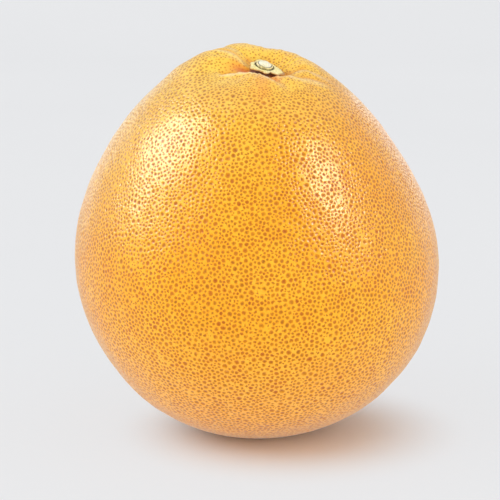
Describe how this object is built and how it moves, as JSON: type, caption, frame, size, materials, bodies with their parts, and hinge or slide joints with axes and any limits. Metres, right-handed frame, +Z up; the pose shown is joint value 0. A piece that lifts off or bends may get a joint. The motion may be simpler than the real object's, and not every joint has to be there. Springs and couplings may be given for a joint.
{
  "type": "grapefruit",
  "caption": "Whole ripe grapefruit with a pitted orange-yellow rind, furrows round the stem end, a dry calyx and a cut stem stub, standing on a small flat spot.",
  "frame": {"origin": "middle of the flat spot that the fruit rests on", "axes": "+Z up, out of the stem end; -Y is the side that the stem end leans towards; +X is to the right seen from there"},
  "size_m": [0.1181, 0.1181, 0.1268],
  "materials": {
    "rind": "waxy, pitted with oil glands, soft gloss",
    "calyx": "dry, matte, greenish cream with browned edges",
    "stem": "dry, matte, pale cream with a brown ring"
  },
  "bodies": {
    "root": {"fruit": "rind", "calyx": "calyx", "stem_stub": "stem"}
  },
  "joints": []
}
